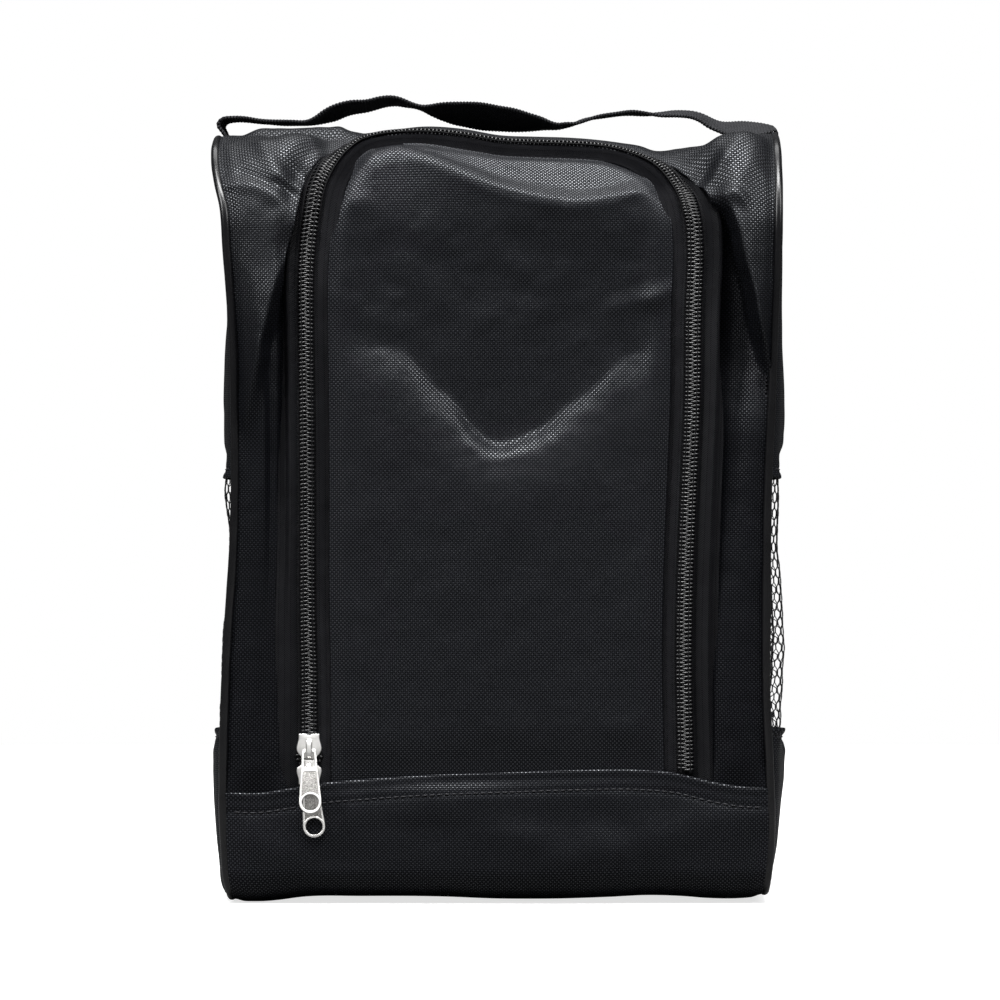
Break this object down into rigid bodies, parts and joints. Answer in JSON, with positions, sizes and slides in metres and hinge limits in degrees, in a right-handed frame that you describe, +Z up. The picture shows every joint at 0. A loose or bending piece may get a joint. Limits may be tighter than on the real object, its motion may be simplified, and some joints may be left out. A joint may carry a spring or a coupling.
{
  "type": "golf shoe bag",
  "caption": "Upright soft bag for a pair of golf shoes with an arched zip door, mesh side vents, piped edges and a webbing carry strap.",
  "frame": {"origin": "centre of the footprint, on the plane the bag stands on", "axes": "+Z up, -Y the door side, +X to the right seen from the front"},
  "size_m": [0.2457, 0.1413, 0.3614],
  "materials": {
    "polyester": "coated basket-weave polyester",
    "mesh_net": "open warp-knit net",
    "webbing": "herringbone webbing",
    "tape": "woven zip tape",
    "thread": "twisted thread",
    "piping_vinyl": "glossy",
    "zip_coil": "satin nylon",
    "nickel": "bright nickel plate"
  },
  "bodies": {
    "shell": {"front_surround": "polyester", "back_panel": "polyester", "base_band": "polyester", "band_topstitch": "thread", "side_upper_left": "polyester", "side_upper_right": "polyester", "side_mesh_left": "mesh_net", "side_mesh_right": "mesh_net", "side_lower_left": "polyester", "side_lower_right": "polyester", "side_topstitch_left": "thread", "side_topstitch_right": "thread", "piping_left": "piping_vinyl", "piping_right": "piping_vinyl", "seam_binding_left": "tape", "seam_binding_right": "tape", "zip_tape_outer": "tape", "zip_coil_outer": "zip_coil", "flap_root": "polyester", "zip_tape_inner_root": "tape", "zip_coil_inner_root": "zip_coil", "strap_end_left": "webbing", "strap_end_right": "webbing", "strap_tack_left": "thread", "strap_tack_right": "thread"},
    "flap": {"flap_panel": "polyester", "zip_tape_inner": "tape", "zip_coil_inner": "zip_coil"},
    "lower_slider": {"lower_slider_body": "nickel"},
    "lower_pull": {"lower_pull_tab": "nickel"},
    "upper_slider": {"upper_slider_body": "nickel"},
    "upper_pull": {"upper_pull_tab": "nickel"},
    "handle_grip": {"strap_grip": "webbing"},
    "strap_left": {"strap_left_leg": "webbing"},
    "strap_right": {"strap_right_leg": "webbing"}
  },
  "joints": [
    {"name": "flap_open", "type": "hinge", "parent": "shell", "child": "flap", "pos_m": [0, -0.066, 0.078], "axis": [1, 0, 0], "range_deg": [0, 105]},
    {"name": "lower_slider_run", "type": "slide", "parent": "shell", "child": "lower_slider", "axis": [0, 0, 1], "range_m": [0, 0.014]},
    {"name": "upper_slider_run", "type": "slide", "parent": "lower_slider", "child": "upper_slider", "axis": [0, 0, 1], "range_m": [0, 0.2]},
    {"name": "upper_pull_flip", "type": "hinge", "parent": "upper_slider", "child": "upper_pull", "pos_m": [-0.084, -0.06715, 0.0679], "axis": [-1, 0, 0], "range_deg": [0, 158]},
    {"name": "lower_pull_flip", "type": "hinge", "parent": "lower_slider", "child": "lower_pull", "pos_m": [-0.084, -0.06715, 0.05795], "axis": [-1, 0, 0], "range_deg": [0, 14]},
    {"name": "handle_lift", "type": "slide", "parent": "shell", "child": "handle_grip", "axis": [0, 0, 1], "range_m": [0, 0.025]},
    {"name": "strap_left_hinge", "type": "hinge", "parent": "shell", "child": "strap_left", "pos_m": [-0.1219, 0, 0.3485], "axis": [0, -1, 0], "range_deg": [0, 21.5]},
    {"name": "strap_right_hinge", "type": "hinge", "parent": "shell", "child": "strap_right", "pos_m": [0.1219, 0, 0.3485], "axis": [0, 1, 0], "range_deg": [0, 21.5]}
  ],
  "couplings": [
    {"joint": "strap_left_hinge", "follows": "handle_lift", "rad_per_m": 14.6},
    {"joint": "strap_right_hinge", "follows": "handle_lift", "rad_per_m": 14.6}
  ]
}
